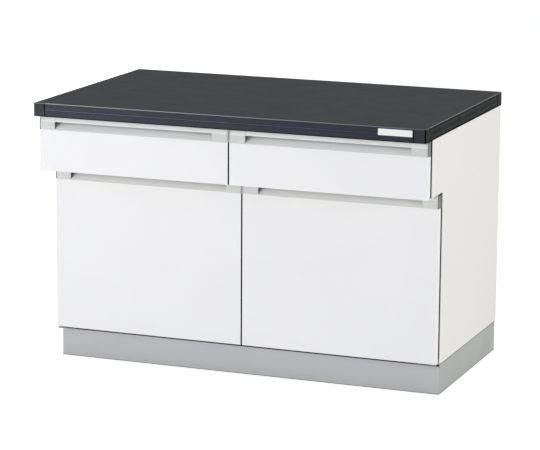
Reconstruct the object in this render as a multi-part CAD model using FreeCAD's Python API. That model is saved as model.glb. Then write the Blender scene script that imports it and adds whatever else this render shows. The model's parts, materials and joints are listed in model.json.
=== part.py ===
import FreeCAD, Part
import os

# Wall lab bench: a chemical-resistant worktop on a two-bay cabinet, a drawer over a door in each bay.
# Millimetres. +X is to the right seen from the front, -Y is the front, +Z is up.
# The origin is the middle of the bench's footprint, on the floor.

Vector = FreeCAD.Vector

# Overall size
bench_width = 1200.0
bench_depth = 750.0
bench_height = 800.0

# Worktop
worktop_thickness = 40.0
laminate_thickness = 1.5
band_thickness = 12.0
band_lip = 3.0
band_edge_round = 2.0
band_groove_depth = 1.2
band_groove_height = 1.6
band_groove_top_drop = 6.0
band_groove_bottom_rise = 4.0
band_groove_pair_spacing = 4.5
cap_front_length = 34.0
cap_side_length = 44.0
cap_proud = 0.5
cap_corner_round = 4.0
cap_seam = 1.2

# Cabinet boards
board_thickness = 18.0
carcass_inset = 2.0
back_panel_thickness = 6.0
back_panel_recess = 6.0
top_rail_width = 80.0
plinth_height = 90.0
plinth_back_inset = 12.0

# Fronts
drawer_setback = 35.0
door_step = 104.0
front_thickness = 21.0
front_gap_depth = 15.0
front_gap = 4.0
front_edge_round = 1.0
drawer_front_height = 161.0
drawer_top_gap = 5.0

# Recessed grip handle along the top of every front
handle_height = 38.0
handle_back_gap = 4.0
handle_cap_thickness = 3.0
handle_cap_depth = 20.0
handle_cap_reach = 1.2
handle_end_block = 46.0
handle_block_seam = 0.2
handle_flange_height = 3.0
handle_flange_width = 2.0
handle_floor_rise = 19.0
handle_lip_bottom = 23.5
handle_lip_lean = 5.0
handle_lip_wall = 4.0
handle_back_wall = 3.0
handle_top_wall = 4.0

# Drawer box and its telescopic slides
box_wall = 12.0
box_floor = 5.0
box_lift = 5.0
box_top_gap = 5.0
box_tail = 4.0
slide_gap = 13.0
slide_length = 480.0
slide_front_setback = 4.0
rail_height = 36.0
rail_wall = 1.5
rail_mouth_gap = 1.0
rail_clearance = 0.4
middle_rail_wall = 2.0

# Shelves on pins
shelf_clearance = 1.0
shelf_front_setback = 20.0
shelf_height = 340.0
shelf_pin_radius = 2.5
shelf_pin_depth = 7.0
shelf_pin_clearance = 0.1
shelf_pad_reach = 10.0
shelf_pad_width = 12.0
shelf_pad_thickness = 4.0
shelf_hole_pitch = 32.0
shelf_hole_inset = 60.0
shelf_hole_steps = (-1, 0, 1)

# Door pivots
pivot_inset = 9.0
pivot_pin_radius = 3.0
pivot_pin_reach = 12.0
pivot_end_gap = 1.0
pivot_running_gap = 0.5
bush_running_fit = 0.05
bush_wall = 1.2
bush_seat_fit = 0.02
bush_flange_radius = 6.0
bush_flange_height = 2.0
pivot_plate_thickness = 2.5
pivot_plate_rise = 2.0
pivot_plate_length = 45.0
pivot_plate_margin = 7.0
pivot_plate_half_width = 11.0
pivot_bracket_height = 14.0

# Magnetic catches and their strike plates
catch_inset = 20.0
catch_width = 40.0
catch_depth = 40.0
catch_height = 16.0
catch_gap = 0.3
strike_thickness = 1.5
strike_height = 10.0
strike_drop = 1.0

# Worktop fixing screws
screw_radius = 2.0
screw_clearance = 0.3
screw_pilot_fit = 0.05
screw_bite = 16.0
screw_head_radius = 4.5
screw_head_height = 2.5
screw_end_inset = 90.0

# Places worked out from the sizes above
half_width = bench_width / 2
half_depth = bench_depth / 2
worktop_bottom = bench_height - worktop_thickness
laminate_bottom = bench_height - laminate_thickness
band_face_x = half_width - cap_proud
band_face_y = half_depth - cap_proud
core_x = band_face_x - band_thickness
core_y = band_face_y - band_thickness
laminate_x = band_face_x - band_lip
laminate_y = band_face_y - band_lip

carcass_x = half_width - carcass_inset
carcass_back_y = half_depth - carcass_inset
inner_x = carcass_x - board_thickness
partition_x = board_thickness / 2
back_panel_y = carcass_back_y - back_panel_recess - back_panel_thickness
top_rail_bottom = worktop_bottom - board_thickness
floor_board_top = plinth_height + board_thickness

drawer_face_y = -half_depth + drawer_setback
drawer_rear_y = drawer_face_y + front_thickness
upper_front_y = drawer_rear_y + front_gap_depth
door_face_y = drawer_face_y + door_step
door_rear_y = door_face_y + front_thickness
lower_front_y = door_rear_y + front_gap_depth

drawer_top = worktop_bottom - drawer_top_gap
ledge = drawer_top - drawer_front_height
divider_top = ledge + board_thickness
door_top = ledge - pivot_plate_thickness - pivot_running_gap - bush_flange_height
pivot_plate_bottom = plinth_height + pivot_plate_rise
door_bottom = pivot_plate_bottom + pivot_plate_thickness + pivot_running_gap + bush_flange_height
handle_depth = front_thickness + front_gap_depth - handle_back_gap
front_inner_x = front_gap / 2

box_bottom = divider_top + box_lift
box_side_bottom = box_bottom + box_floor
box_side_top = drawer_top - handle_height - box_top_gap
box_inner_x = partition_x + slide_gap
box_outer_x = inner_x - slide_gap
slide_front_y = upper_front_y + slide_front_setback
slide_back_y = slide_front_y + slide_length
box_back_y = slide_back_y + box_tail
rail_middle = (box_side_bottom + box_side_top) / 2
rail_reach = (slide_gap - rail_mouth_gap) / 2

pivot_x = carcass_x - pivot_inset
pivot_y = door_face_y + front_thickness / 2
bush_radius = pivot_pin_radius + bush_running_fit + bush_wall
bush_length = pivot_pin_reach + pivot_end_gap

# How near a plane an edge has to lie to count as in it
plane_tolerance = 0.01

sides = (("left", -1), ("right", 1))
os.makedirs("parts", exist_ok=True)


def save(node, *solids):
    shape = solids[0] if len(solids) == 1 else Part.makeCompound(list(solids))
    shape.exportStep("parts/" + node + ".step")


def block(x_range, y_range, z_range):
    low = Vector(min(x_range), min(y_range), min(z_range))
    size = Vector(max(x_range), max(y_range), max(z_range)) - low
    return Part.makeBox(size.x, size.y, size.z, low)


def prism_x(outline, x_start, x_end):
    points = [Vector(x_start, y, z) for y, z in outline]
    face = Part.Face(Part.makePolygon(points + points[:1]))
    return face.extrude(Vector(x_end - x_start, 0, 0))


def prism_y(outline, y_start, y_end):
    points = [Vector(x, y_start, z) for x, z in outline]
    face = Part.Face(Part.makePolygon(points + points[:1]))
    return face.extrude(Vector(0, y_end - y_start, 0))


def upright(radius, x, y, z_start, z_end):
    return Part.makeCylinder(radius, z_end - z_start, Vector(x, y, z_start))


def on_plane(edge, axis, value):
    box = edge.BoundBox
    low = getattr(box, axis + "Min")
    high = getattr(box, axis + "Max")
    return abs(low - value) < plane_tolerance and abs(high - value) < plane_tolerance


def edges_on(shape, *planes):
    # Edges that lie in every one of the given planes, each an axis letter and a value.
    return [edge for edge in shape.Edges if all(on_plane(edge, axis, value) for axis, value in planes)]


# Worktop: core board, laminate sheet, edge bands and corner caps
laminate = block((-laminate_x, laminate_x), (-laminate_y, laminate_y), (laminate_bottom, bench_height))
core = block((-core_x, core_x), (-core_y, core_y), (worktop_bottom, laminate_bottom))

screw_y = (upper_front_y + top_rail_width / 2, back_panel_y - top_rail_width / 2)
screw_x = (-inner_x + screw_end_inset, -screw_end_inset, screw_end_inset, inner_x - screw_end_inset)
for x in screw_x:
    for y in screw_y:
        pilot_top = worktop_bottom + screw_bite
        core = core.cut(upright(screw_radius + screw_pilot_fit, x, y, worktop_bottom, pilot_top))
save("worktop_core", core)
save("worktop_laminate", laminate)

groove_middle = (worktop_bottom + bench_height) / 2
groove_heights = (
    bench_height - band_groove_top_drop,
    groove_middle + band_groove_pair_spacing / 2,
    groove_middle - band_groove_pair_spacing / 2,
    worktop_bottom + band_groove_bottom_rise,
)


def edge_band(face, core_edge, length):
    # A ribbed band along X, from the core's edge out to its face, with a lip beside the laminate sheet.
    outward = 1 if face > core_edge else -1
    ends = (-length / 2, length / 2)
    band = block(ends, (core_edge, face), (worktop_bottom, bench_height))
    band = band.makeFillet(band_edge_round, edges_on(band, ("Y", face), ("Z", bench_height)))
    band = band.cut(block(ends, (core_edge, face - outward * band_lip), (laminate_bottom, bench_height)))
    for height in groove_heights:
        groove_z = (height - band_groove_height / 2, height + band_groove_height / 2)
        band = band.cut(block(ends, (face - outward * band_groove_depth, face), groove_z))
    return band


def turned(shape):
    # A quarter turn about +Z, so that what ran along X at the front runs along Y at the right.
    return shape.rotated(Vector(0, 0, 0), Vector(0, 0, 1), 90)


front_band_length = bench_width - 2 * (cap_front_length + cap_seam)
side_band_length = bench_depth - 2 * (cap_side_length + cap_seam)
save("edge_band_front", edge_band(-band_face_y, -core_y, front_band_length))
save("edge_band_back", edge_band(band_face_y, core_y, front_band_length))
save("edge_band_right", turned(edge_band(-band_face_x, -core_x, side_band_length)))
save("edge_band_left", turned(edge_band(band_face_x, core_x, side_band_length)))


def corner_cap(x_sign, y_sign):
    # An L in plan, rounded at its outer corner and along its top rim, round the core and the laminate.
    x_face = x_sign * half_width
    y_face = y_sign * half_depth
    x_end = x_face - x_sign * cap_front_length
    y_end = y_face - y_sign * cap_side_length
    cap = block((x_face, x_end), (y_face, y_end), (worktop_bottom, bench_height))
    cap = cap.makeFillet(cap_corner_round, edges_on(cap, ("X", x_face), ("Y", y_face)))
    rim = [edge for edge in edges_on(cap, ("Z", bench_height))
           if not on_plane(edge, "X", x_end) and not on_plane(edge, "Y", y_end)]
    cap = cap.makeFillet(band_edge_round, rim)
    cap = cap.cut(block((-core_x, core_x), (-core_y, core_y), (worktop_bottom, bench_height)))
    return cap.cut(laminate)


save("corner_caps", *[corner_cap(x_sign, y_sign) for x_sign in (-1, 1) for y_sign in (-1, 1)])


# Plinth: four boards, the front and back ones between floor and cabinet at full width
plinth_back_y = half_depth - plinth_back_inset
plinth_z = (0.0, plinth_height)
plinth_front_inner_y = lower_front_y + board_thickness
plinth_back_inner_y = plinth_back_y - board_thickness
save("plinth_front", block((-carcass_x, carcass_x), (lower_front_y, plinth_front_inner_y), plinth_z))
save("plinth_back", block((-carcass_x, carcass_x), (plinth_back_inner_y, plinth_back_y), plinth_z))
for side, sign in sides:
    side_x = (sign * inner_x, sign * carcass_x)
    save("plinth_" + side, block(side_x, (plinth_front_inner_y, plinth_back_inner_y), plinth_z))


# Cabinet boards
def notched_outline(back_y, bottom, top):
    # Front to back and up: the drawer part stands forward over the door part.
    return (
        (lower_front_y, bottom),
        (lower_front_y, ledge),
        (upper_front_y, ledge),
        (upper_front_y, top),
        (back_y, top),
        (back_y, bottom),
    )


shelf_front_y = lower_front_y + shelf_front_setback
shelf_back_y = back_panel_y - shelf_clearance
shelf_pin_y = (shelf_front_y + shelf_hole_inset, shelf_back_y - shelf_hole_inset)
shelf_pin_z = shelf_height - shelf_pad_thickness / 2


def shelf_holes(face_x, into):
    # Rows of blind holes for the shelf pins, from a board's face into its thickness.
    radius = shelf_pin_radius + shelf_pin_clearance
    depth = shelf_pin_depth + shelf_pin_clearance
    holes = []
    for y in shelf_pin_y:
        for step in shelf_hole_steps:
            place = Vector(face_x, y, shelf_pin_z + step * shelf_hole_pitch)
            holes.append(Part.makeCylinder(radius, depth, place, Vector(into, 0, 0)))
    return holes


for side, sign in sides:
    outline = notched_outline(carcass_back_y, plinth_height, worktop_bottom)
    panel = prism_x(outline, *sorted((sign * inner_x, sign * carcass_x)))
    save("side_panel_" + side, panel.cut(shelf_holes(sign * inner_x, sign)))

partition_outline = notched_outline(back_panel_y, floor_board_top, top_rail_bottom)
partition = prism_x(partition_outline, -partition_x, partition_x)
for side, sign in sides:
    partition = partition.cut(shelf_holes(sign * partition_x, -sign))
save("centre_partition", partition)

back_panel_range = (back_panel_y, back_panel_y + back_panel_thickness)
save("back_panel", block((-inner_x, inner_x), back_panel_range, (plinth_height, worktop_bottom)))
floor_board_z = (plinth_height, floor_board_top)
save("bottom_panel", block((-inner_x, inner_x), (lower_front_y, back_panel_y), floor_board_z))

for side, sign in sides:
    bay_x = (sign * partition_x, sign * inner_x)
    save("drawer_divider_" + side, block(bay_x, (upper_front_y, back_panel_y), (ledge, divider_top)))
    shelf_x = (sign * (partition_x + shelf_clearance), sign * (inner_x - shelf_clearance))
    shelf_z = (shelf_height, shelf_height + board_thickness)
    save("shelf_" + side, block(shelf_x, (shelf_front_y, shelf_back_y), shelf_z))


def top_rail(y_range, screw_line):
    hole_radius = screw_radius + screw_clearance
    rail = block((-inner_x, inner_x), y_range, (top_rail_bottom, worktop_bottom))
    for x in screw_x:
        rail = rail.cut(upright(hole_radius, x, screw_line, top_rail_bottom, worktop_bottom))
    return rail


save("top_rail_front", top_rail((upper_front_y, upper_front_y + top_rail_width), screw_y[0]))
save("top_rail_back", top_rail((back_panel_y - top_rail_width, back_panel_y), screw_y[1]))


def worktop_screw(x, y):
    head = upright(screw_head_radius, x, y, top_rail_bottom - screw_head_height, top_rail_bottom)
    return head.fuse(upright(screw_radius, x, y, top_rail_bottom, worktop_bottom + screw_bite))


save("worktop_screws", *[worktop_screw(x, y) for x in screw_x for y in screw_y])


def shelf_pin(face_x, into, y):
    # A peg in the board with a flat pad outside it, whose top carries the shelf.
    place = Vector(face_x, y, shelf_pin_z)
    peg = Part.makeCylinder(shelf_pin_radius, shelf_pin_depth, place, Vector(into, 0, 0))
    pad_x = (face_x, face_x - into * shelf_pad_reach)
    pad_y = (y - shelf_pad_width / 2, y + shelf_pad_width / 2)
    return peg.fuse(block(pad_x, pad_y, (shelf_height - shelf_pad_thickness, shelf_height)))


pin_faces = [(sign * inner_x, sign) for side, sign in sides]
pin_faces += [(sign * partition_x, -sign) for side, sign in sides]
save("shelf_pins", *[shelf_pin(face_x, into, y) for face_x, into in pin_faces for y in shelf_pin_y])


# Recessed grip handle: a rail with a slanted lip and a finger pocket behind it, and a solid block at each end
def handle_outline(face_y, bottom, depth):
    lean_y = face_y + handle_lip_lean
    rear_y = face_y + depth
    return (
        (face_y, bottom),
        (face_y, bottom + handle_lip_bottom),
        (lean_y, bottom + handle_height),
        (rear_y, bottom + handle_height),
        (rear_y, bottom),
    )


def pocket_outline(face_y, bottom):
    ceiling = handle_height - handle_top_wall
    lean_there = handle_lip_lean * (ceiling - handle_lip_bottom) / (handle_height - handle_lip_bottom)
    deep_y = face_y + handle_depth - handle_back_wall
    return (
        (face_y, bottom + handle_flange_height),
        (face_y + handle_flange_width, bottom + handle_flange_height),
        (deep_y, bottom + handle_flange_height + handle_floor_rise),
        (deep_y, bottom + ceiling),
        (face_y + lean_there + handle_lip_wall, bottom + ceiling),
        (face_y + handle_lip_wall, bottom + handle_lip_bottom),
        (face_y, bottom + handle_lip_bottom),
    )


def handle(sign, face_y, bottom):
    near_end = front_inner_x + handle_cap_thickness
    far_end = carcass_x - handle_cap_thickness
    low_end, high_end = sorted((sign * near_end, sign * far_end))
    outline = handle_outline(face_y, bottom, handle_depth)
    low_block = prism_x(outline, low_end, low_end + handle_end_block)
    high_block = prism_x(outline, high_end - handle_end_block, high_end)
    rail_inset = handle_end_block + handle_block_seam
    rail_ends = (low_end + rail_inset, high_end - rail_inset)
    rail = prism_x(outline, *rail_ends).cut(prism_x(pocket_outline(face_y, bottom), *rail_ends))
    return [low_block, rail, high_block]


def handle_caps(sign, face_y, bottom):
    # The caps close the bar's front part; those at the middle of the bench reach towards each other.
    outline = handle_outline(face_y, bottom, handle_cap_depth)
    meeting_x = front_inner_x - handle_cap_reach
    near = sorted((sign * meeting_x, sign * (front_inner_x + handle_cap_thickness)))
    far = sorted((sign * (carcass_x - handle_cap_thickness), sign * carcass_x))
    return [prism_x(outline, *near), prism_x(outline, *far)]


def front_panel(sign, face_y, bottom, top):
    # A front with its four outer edges eased.
    x_range = (sign * front_inner_x, sign * carcass_x)
    panel = block(x_range, (face_y, face_y + front_thickness), (bottom, top))
    return panel.makeFillet(front_edge_round, edges_on(panel, ("Y", face_y)))


# Telescopic slides: a channel on the cabinet, a channel on the drawer and a bar between them inside both
def channel(face_x, away):
    half = rail_height / 2
    section = (
        (0.0, -half),
        (rail_reach, -half),
        (rail_reach, rail_wall - half),
        (rail_wall, rail_wall - half),
        (rail_wall, half - rail_wall),
        (rail_reach, half - rail_wall),
        (rail_reach, half),
        (0.0, half),
    )
    outline = [(face_x + away * reach, rail_middle + height) for reach, height in section]
    return prism_y(outline, slide_front_y, slide_back_y)


def middle_rail(face_x, away):
    near = rail_wall + rail_clearance
    far = slide_gap - near
    half = rail_height / 2 - near
    flange = half - middle_rail_wall
    web_near = (slide_gap - middle_rail_wall) / 2
    web_far = (slide_gap + middle_rail_wall) / 2
    section = (
        (near, -half),
        (far, -half),
        (far, -flange),
        (web_far, -flange),
        (web_far, flange),
        (far, flange),
        (far, half),
        (near, half),
        (near, flange),
        (web_near, flange),
        (web_near, -flange),
        (near, -flange),
    )
    outline = [(face_x + away * reach, rail_middle + height) for reach, height in section]
    return prism_y(outline, slide_front_y, slide_back_y)


outer_rails = []
for side, sign in sides:
    outer_rails += [channel(sign * inner_x, -sign), channel(sign * partition_x, sign)]
save("slide_outer_rails", *outer_rails)


# Drawers
handle_bottom = drawer_top - handle_height
box_y = (drawer_rear_y, box_back_y)
box_side_z = (box_side_bottom, box_side_top)
for side, sign in sides:
    save("drawer_front_" + side, front_panel(sign, drawer_face_y, ledge, handle_bottom))
    save("drawer_handle_" + side, *handle(sign, drawer_face_y, handle_bottom))
    save("drawer_handle_caps_" + side, *handle_caps(sign, drawer_face_y, handle_bottom))

    near_wall = (sign * box_inner_x, sign * (box_inner_x + box_wall))
    far_wall = (sign * (box_outer_x - box_wall), sign * box_outer_x)
    between = (near_wall[1], far_wall[0])
    save("drawer_sides_" + side, block(near_wall, box_y, box_side_z), block(far_wall, box_y, box_side_z))
    save("drawer_box_front_" + side, block(between, (drawer_rear_y, drawer_rear_y + box_wall), box_side_z))
    save("drawer_back_" + side, block(between, (box_back_y - box_wall, box_back_y), box_side_z))
    save("drawer_bottom_" + side, block((near_wall[0], far_wall[1]), box_y, (box_bottom, box_side_bottom)))

    drawer_channels = [channel(sign * box_outer_x, sign), channel(sign * box_inner_x, -sign)]
    save("slide_inner_rails_" + side, *drawer_channels)
    middle_rails = [middle_rail(sign * inner_x, -sign), middle_rail(sign * partition_x, sign)]
    save("slide_middle_rails_" + side, *middle_rails)


# Doors, hung on pins above and below their outer edge
def bush(x, seat, into):
    # A flanged sleeve pressed into the door, its flange on the door's edge.
    flange_end = seat - into * bush_flange_height
    sleeve_end = seat + into * bush_length
    sleeve = upright(bush_radius, x, pivot_y, min(seat, sleeve_end), max(seat, sleeve_end))
    flange = upright(bush_flange_radius, x, pivot_y, min(seat, flange_end), max(seat, flange_end))
    low = min(flange_end, sleeve_end)
    high = max(flange_end, sleeve_end)
    return sleeve.fuse(flange).cut(upright(pivot_pin_radius + bush_running_fit, x, pivot_y, low, high))


pins = []
top_plates = []
bottom_brackets = []
catches = []
door_handle_bottom = door_top - handle_height
for side, sign in sides:
    x = sign * pivot_x
    seat_radius = bush_radius + bush_seat_fit
    lower_seat = upright(seat_radius, x, pivot_y, door_bottom, door_bottom + bush_length)
    upper_seat = upright(seat_radius, x, pivot_y, door_top - bush_length, door_top)
    door = front_panel(sign, door_face_y, door_bottom, door_handle_bottom)
    save("door_panel_" + side, door.cut(lower_seat))
    handle_pieces = [piece.cut(upper_seat) for piece in handle(sign, door_face_y, door_handle_bottom)]
    save("door_handle_" + side, *handle_pieces)
    save("door_handle_caps_" + side, *handle_caps(sign, door_face_y, door_handle_bottom))
    save("door_bushes_" + side, bush(x, door_bottom, 1), bush(x, door_top, -1))

    # Pivot plates and pins stay on the cabinet
    plate_x = (sign * (pivot_x - pivot_plate_length), sign * (pivot_x + pivot_plate_margin))
    plate_y = (pivot_y - pivot_plate_half_width, pivot_y + pivot_plate_half_width)
    upper_plate = block(plate_x, plate_y, (ledge - pivot_plate_thickness, ledge))
    lower_z = (pivot_plate_bottom, pivot_plate_bottom + pivot_plate_thickness)
    lower_plate = block(plate_x, (plate_y[0], lower_front_y), lower_z)
    leg_y = (lower_front_y - pivot_plate_thickness, lower_front_y)
    leg = block(plate_x, leg_y, (pivot_plate_bottom, pivot_plate_bottom + pivot_bracket_height))
    upper_pin = upright(pivot_pin_radius, x, pivot_y, door_top - pivot_pin_reach, ledge)
    lower_pin = upright(pivot_pin_radius, x, pivot_y, pivot_plate_bottom, door_bottom + pivot_pin_reach)
    pins += [upper_pin, lower_pin]
    top_plates.append(upper_plate.cut(upper_pin))
    bottom_brackets.append(lower_plate.fuse(leg).removeSplitter().cut(lower_pin))

    # Magnetic catch under the divider, and its strike plate on the back of the handle
    catch_x = (sign * catch_inset, sign * (catch_inset + catch_width))
    strike_front = door_face_y + handle_depth
    strike_y = (strike_front, strike_front + strike_thickness)
    strike_top = door_top - strike_drop
    save("strike_plate_" + side, block(catch_x, strike_y, (strike_top - strike_height, strike_top)))
    catch_front = strike_y[1] + catch_gap
    catches.append(block(catch_x, (catch_front, catch_front + catch_depth), (ledge - catch_height, ledge)))

save("pivot_pins", *pins)
save("pivot_plates_top", *top_plates)
save("pivot_brackets_bottom", *bottom_brackets)
save("door_catches", *catches)
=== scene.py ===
import bpy
import bmesh
import json
from math import pi
from mathutils import Euler, Matrix, Vector


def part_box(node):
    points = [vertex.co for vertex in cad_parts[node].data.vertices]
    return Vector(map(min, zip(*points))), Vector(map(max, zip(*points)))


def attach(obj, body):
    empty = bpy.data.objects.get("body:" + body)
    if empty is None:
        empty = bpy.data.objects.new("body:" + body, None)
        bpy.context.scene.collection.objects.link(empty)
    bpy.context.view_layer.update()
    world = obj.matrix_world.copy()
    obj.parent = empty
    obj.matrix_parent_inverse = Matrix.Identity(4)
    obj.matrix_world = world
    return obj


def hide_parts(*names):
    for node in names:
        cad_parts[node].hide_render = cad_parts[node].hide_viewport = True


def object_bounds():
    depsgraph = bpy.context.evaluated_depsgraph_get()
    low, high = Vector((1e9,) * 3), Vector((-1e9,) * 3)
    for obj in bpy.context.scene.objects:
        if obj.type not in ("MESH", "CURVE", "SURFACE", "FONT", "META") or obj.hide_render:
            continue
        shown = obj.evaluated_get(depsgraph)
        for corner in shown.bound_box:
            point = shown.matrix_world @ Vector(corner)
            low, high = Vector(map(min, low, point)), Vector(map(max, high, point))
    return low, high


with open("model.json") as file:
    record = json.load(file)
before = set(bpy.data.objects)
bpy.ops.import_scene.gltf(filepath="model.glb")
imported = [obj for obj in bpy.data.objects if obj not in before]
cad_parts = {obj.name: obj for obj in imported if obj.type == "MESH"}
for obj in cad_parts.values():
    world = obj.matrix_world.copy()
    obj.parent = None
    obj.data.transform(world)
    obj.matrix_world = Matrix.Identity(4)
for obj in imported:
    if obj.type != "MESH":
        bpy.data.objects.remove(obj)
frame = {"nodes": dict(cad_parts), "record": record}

cadLow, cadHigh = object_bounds()  # the solids' own box, before anything is added
print("frame loaded:", len(frame["nodes"]), "nodes")


# steps that all node trees share

def feed(tree, node, values):  # by input: an output to link from, or a plain value
    for socket, value in values.items():
        if isinstance(value, bpy.types.NodeSocket):
            tree.links.new(value, node.inputs[socket])
        else:
            node.inputs[socket].default_value = value


def addNode(tree, kind, values=None, **options):
    node = tree.nodes.new(kind)
    for option, value in options.items():
        setattr(node, option, value)
    feed(tree, node, values or {})
    return node


def openTree(name, kind, sockets):  # a node group with these inputs
    tree = bpy.data.node_groups.new(name, kind + "NodeTree")
    for label, content in sockets.items():
        tree.interface.new_socket(name=label, in_out="INPUT", socket_type="NodeSocket" + content)
    return tree, tree.nodes.new("NodeGroupInput").outputs


def closeTree(tree, results, content):  # all its outputs hold the same kind of content
    for label in results:
        tree.interface.new_socket(name=label, in_out="OUTPUT", socket_type="NodeSocket" + content)
    addNode(tree, "NodeGroupOutput", results)
    return tree


def combine(tree, operation, *values):
    return addNode(tree, "ShaderNodeMath", dict(enumerate(values)), operation=operation).outputs["Value"]


def product(tree, first, *others):
    for other in others:
        first = combine(tree, "MULTIPLY", first, other)
    return first


def ramp(tree, value, start, end, low=0.0, high=1.0):  # low where a span starts, high where it ends
    values = {"Value": value, "From Min": start, "From Max": end, "To Min": low, "To Max": high}
    return addNode(tree, "ShaderNodeMapRange", values).outputs["Result"]


def stretch(tree, vector, factors):
    values = {0: vector, 1: factors}
    return addNode(tree, "ShaderNodeVectorMath", values, operation="MULTIPLY").outputs["Vector"]


def split(tree, vector):
    return addNode(tree, "ShaderNodeSeparateXYZ", {"Vector": vector}).outputs


def facing(tree):  # X, Y and Z of the direction that a face looks in
    return split(tree, addNode(tree, "ShaderNodeNewGeometry").outputs["Normal"])


def noise(tree, vector, scale, detail, roughness):
    values = {"Vector": vector, "Scale": scale, "Detail": detail, "Roughness": roughness}
    return addNode(tree, "ShaderNodeTexNoise", values).outputs["Fac"]


# shared effects, one shader group each

noiseBand = (0.3, 0.7)  # nearly all of a noise lies between these
grainNoise = {"Mottle": (3.0, 0.55), "Tooth": (2.0, 0.6)}  # detail and roughness, as in all noises here


def buildGrain():  # soft mottle plus a fine tooth, for moulded and laminated faces
    group, given = openTree("benchGrain", "Shader", {
        "Vector": "Vector", "Mottle Scale": "Float", "Tooth Scale": "Float"})
    masks = {}
    for label, texture in grainNoise.items():
        field = noise(group, given["Vector"], given[label + " Scale"], *texture)
        masks[label] = ramp(group, field, *noiseBand)
    return closeTree(group, masks, "Float")


streakNoise = (4.0, 0.65)


def buildStreaks():  # drawn lines along an extrusion or a rolled strip
    group, given = openTree("benchStreaks", "Shader", {
        "Vector": "Vector", "Squeeze": "Vector", "Scale": "Float"})
    field = noise(group, stretch(group, given["Vector"], given["Squeeze"]), given["Scale"], *streakNoise)
    return closeTree(group, {"Streak": ramp(group, field, *noiseBand)}, "Float")


dustFilm = {"upward": (0.6, 1.0), "noise": (5.0, 0.6)}


def buildDust():  # a thin film that settles on faces looking up, in patches
    group, given = openTree("benchDust", "Shader", {
        "Vector": "Vector", "Patch Scale": "Float", "Amount": "Float"})
    upward = ramp(group, facing(group)["Z"], *dustFilm["upward"])
    patches = noise(group, given["Vector"], given["Patch Scale"], *dustFilm["noise"])
    return closeTree(group, {"Dust": product(group, upward, patches, given["Amount"])}, "Float")


scuffMarks = {"stretch": (9.0, 9.0, 120.0), "scale": 1.0, "noise": (4.0, 0.7), "edge": (0.58, 0.72)}


def buildScuffs():  # short rubbed marks as shoes leave on a plinth, and the nearness to the floor alone
    group, given = openTree("benchScuffs", "Shader", {
        "Vector": "Vector", "Top": "Float", "Amount": "Float"})
    drawn = stretch(group, given["Vector"], scuffMarks["stretch"])
    field = noise(group, drawn, scuffMarks["scale"], *scuffMarks["noise"])
    marks = ramp(group, field, *scuffMarks["edge"])
    low = ramp(group, split(group, given["Vector"])["Z"], given["Top"], 0.0)
    return closeTree(group, {"Scuff": product(group, marks, low, given["Amount"]), "Low": low}, "Float")


highlightTurns = {  # how far a face has turned where each mask starts and where it is full
    "start": (0.08, 0.3), "end": (0.99, 0.88), "lit": (0.0, 0.15), "corner": (0.03, 0.2),
    "side": (0.7, 0.95),
}


# painted highlight: edges that turn flat are laid lighter towards the front and right, fading towards the
# right end; painted shade: upright corners are laid dark; faces turned to the side get a mask of their own
def buildEdgeHighlight():
    group, given = openTree("benchEdgeHighlight", "Shader", {
        "Vector": "Vector", "Fade": "Float", "Highlight Amount": "Float"})
    turn = facing(group)
    along = ramp(group, split(group, given["Vector"])["X"], cadLow.x, cadHigh.x, 1.0, given["Fade"])
    start = ramp(group, turn["Z"], *highlightTurns["start"])
    end = ramp(group, turn["Z"], *highlightTurns["end"])
    lit = ramp(group, combine(group, "SUBTRACT", turn["X"], turn["Y"]), *highlightTurns["lit"])
    upright = combine(group, "ABSOLUTE", product(group, turn["X"], turn["Y"]))
    sideways = combine(group, "ABSOLUTE", turn["X"])
    return closeTree(group, {
        "Rim": product(group, start, end, along, lit, given["Highlight Amount"]),
        "Corner": ramp(group, upright, *highlightTurns["corner"]),
        "Side": ramp(group, sideways, *highlightTurns["side"])}, "Float")


gripTurns = {"slant": (0.10, 0.25), "flat": (0.5, 0.7)}


def buildGrip():  # masks for painted light and shade on a handle: its slanted lip, its height, the pocket's floor and the deep end of it
    group, given = openTree("benchGrip", "Shader", {
        "Vector": "Vector", "Face": "Float", "Bottom": "Float", "Lip Low": "Float", "Lip High": "Float",
        "Deep Start": "Float", "Deep Full": "Float"})
    turn = facing(group)
    place = split(group, given["Vector"])
    slant = ramp(group, turn["Z"], *gripTurns["slant"])
    flat = ramp(group, turn["Z"], *gripTurns["flat"])
    height = combine(group, "SUBTRACT", place["Z"], given["Bottom"])
    depth = combine(group, "SUBTRACT", place["Y"], given["Face"])
    up = ramp(group, height, given["Lip Low"], given["Lip High"])
    sunk = ramp(group, depth, given["Deep Start"], given["Deep Full"])
    floor = product(group, flat, combine(group, "SUBTRACT", 1.0, up))
    return closeTree(group, {
        "Slant": slant, "Rise": product(group, slant, up), "Floor": floor,
        "Deep": product(group, floor, sunk)}, "Float")


effects = {"grain": buildGrain(), "streaks": buildStreaks(), "dust": buildDust(), "scuffs": buildScuffs(),
           "rim": buildEdgeHighlight(), "grip": buildGrip()}
print("shader groups:", ", ".join(effects))


# finishes: each has a lighter and a darker shade, an uneven gloss and a fine relief
# shades are factors on the colour, roughness is a range, bump is a strength and a depth in metres

def startFinish(name, look):
    material = bpy.data.materials.new(name)
    material.use_nodes = True
    tree = material.node_tree
    shader = tree.nodes["Principled BSDF"]
    feed(tree, shader, {"Specular IOR Level": look["specular"], "Metallic": look.get("metallic", 0.0)})
    coords = addNode(tree, "ShaderNodeTexCoord").outputs["Object"]
    return {"material": material, "tree": tree, "shader": shader, "coords": coords, "colour": None}


def placeEffect(finish, kind, values):
    values = {"Vector": finish["coords"], **values}
    return addNode(finish["tree"], "ShaderNodeGroup", values, node_tree=effects[kind]).outputs


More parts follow.
